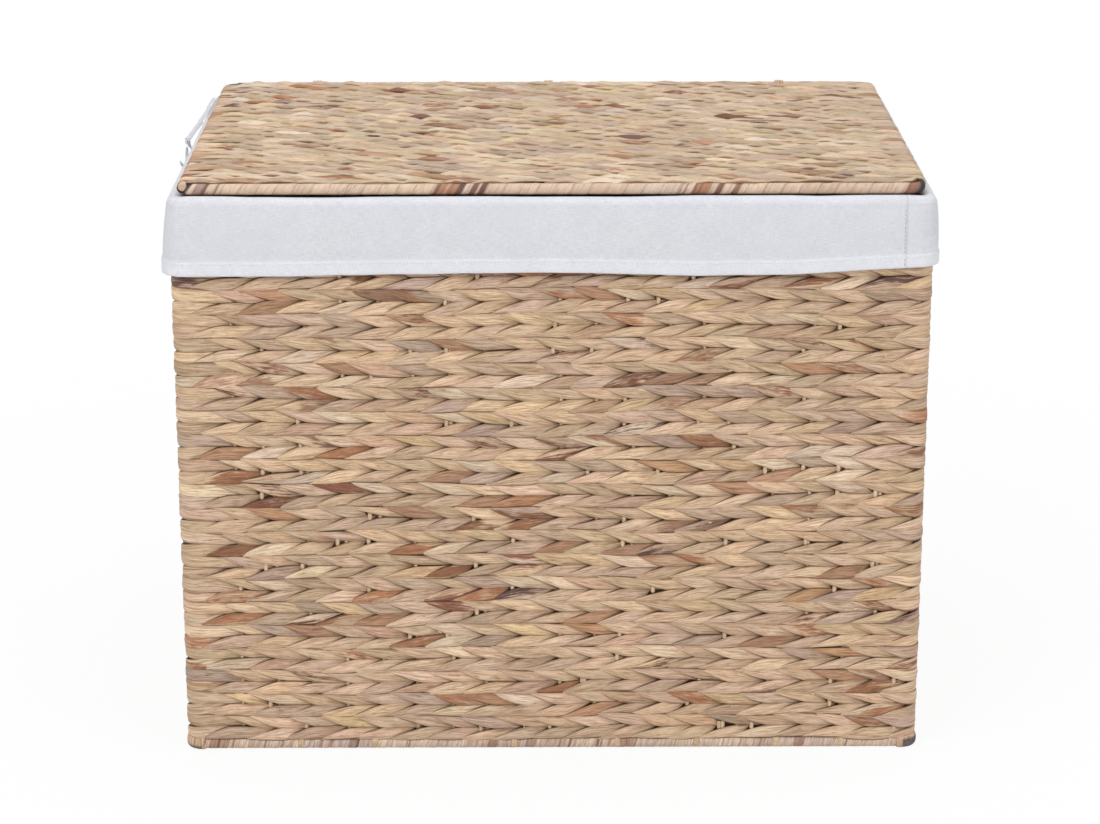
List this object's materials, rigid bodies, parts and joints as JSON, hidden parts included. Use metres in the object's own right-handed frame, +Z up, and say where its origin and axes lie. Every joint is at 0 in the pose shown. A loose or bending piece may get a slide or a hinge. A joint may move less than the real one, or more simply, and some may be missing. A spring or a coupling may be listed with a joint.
{
  "type": "lidded laundry basket",
  "caption": "Rectangular woven plant-strand laundry basket on a steel rod frame, with a hinged woven lid and a cotton liner turned over its rim.",
  "frame": {"origin": "on the floor under the middle of the basket", "axes": "+X to the basket's right as seen from its front, -Y out of its front, +Z up"},
  "size_m": [0.6828, 0.4732, 0.5259],
  "materials": {
    "strand": "dry flattened plant stem, light tan with brown streaks",
    "bound_strand": "narrow flattened plant strips wound side by side",
    "lashing": "split cane, satin",
    "steel": "dark grey paint, satin",
    "cotton": "plain-woven off-white cotton"
  },
  "bodies": {
    "basket": {"base_ring": "steel", "top_ring": "steel", "corner_post_front_left": "steel", "corner_post_front_right": "steel", "corner_post_rear_left": "steel", "corner_post_rear_right": "steel", "base_cross_rod_left": "steel", "base_cross_rod_right": "steel", "base_binding_front": "bound_strand", "base_binding_rear": "bound_strand", "base_binding_left": "bound_strand", "base_binding_right": "bound_strand", "top_binding_front": "bound_strand", "top_binding_rear": "bound_strand", "top_binding_left": "bound_strand", "top_binding_right": "bound_strand", "front_panel": "strand", "rear_panel": "strand", "left_panel": "strand", "right_panel": "strand", "base_panel": "strand", "liner_bag": "cotton", "liner_cuff": "cotton", "left_tie_tape": "cotton", "left_tie_knot": "cotton", "left_tie_tail_front": "cotton", "left_tie_tail_rear": "cotton", "hinge_loop_left": "lashing", "hinge_loop_middle": "lashing", "hinge_loop_right": "lashing"},
    "lid": {"lid_ring": "steel", "lid_cross_rod_left": "steel", "lid_cross_rod_right": "steel", "lid_binding_front": "bound_strand", "lid_binding_rear": "bound_strand", "lid_panel": "strand"}
  },
  "joints": [
    {"name": "lid_hinge", "type": "hinge", "parent": "basket", "child": "lid", "pos_m": [0, 0.224, 0.5185], "axis": [-1, 0, 0], "range_deg": [0, 110]}
  ]
}
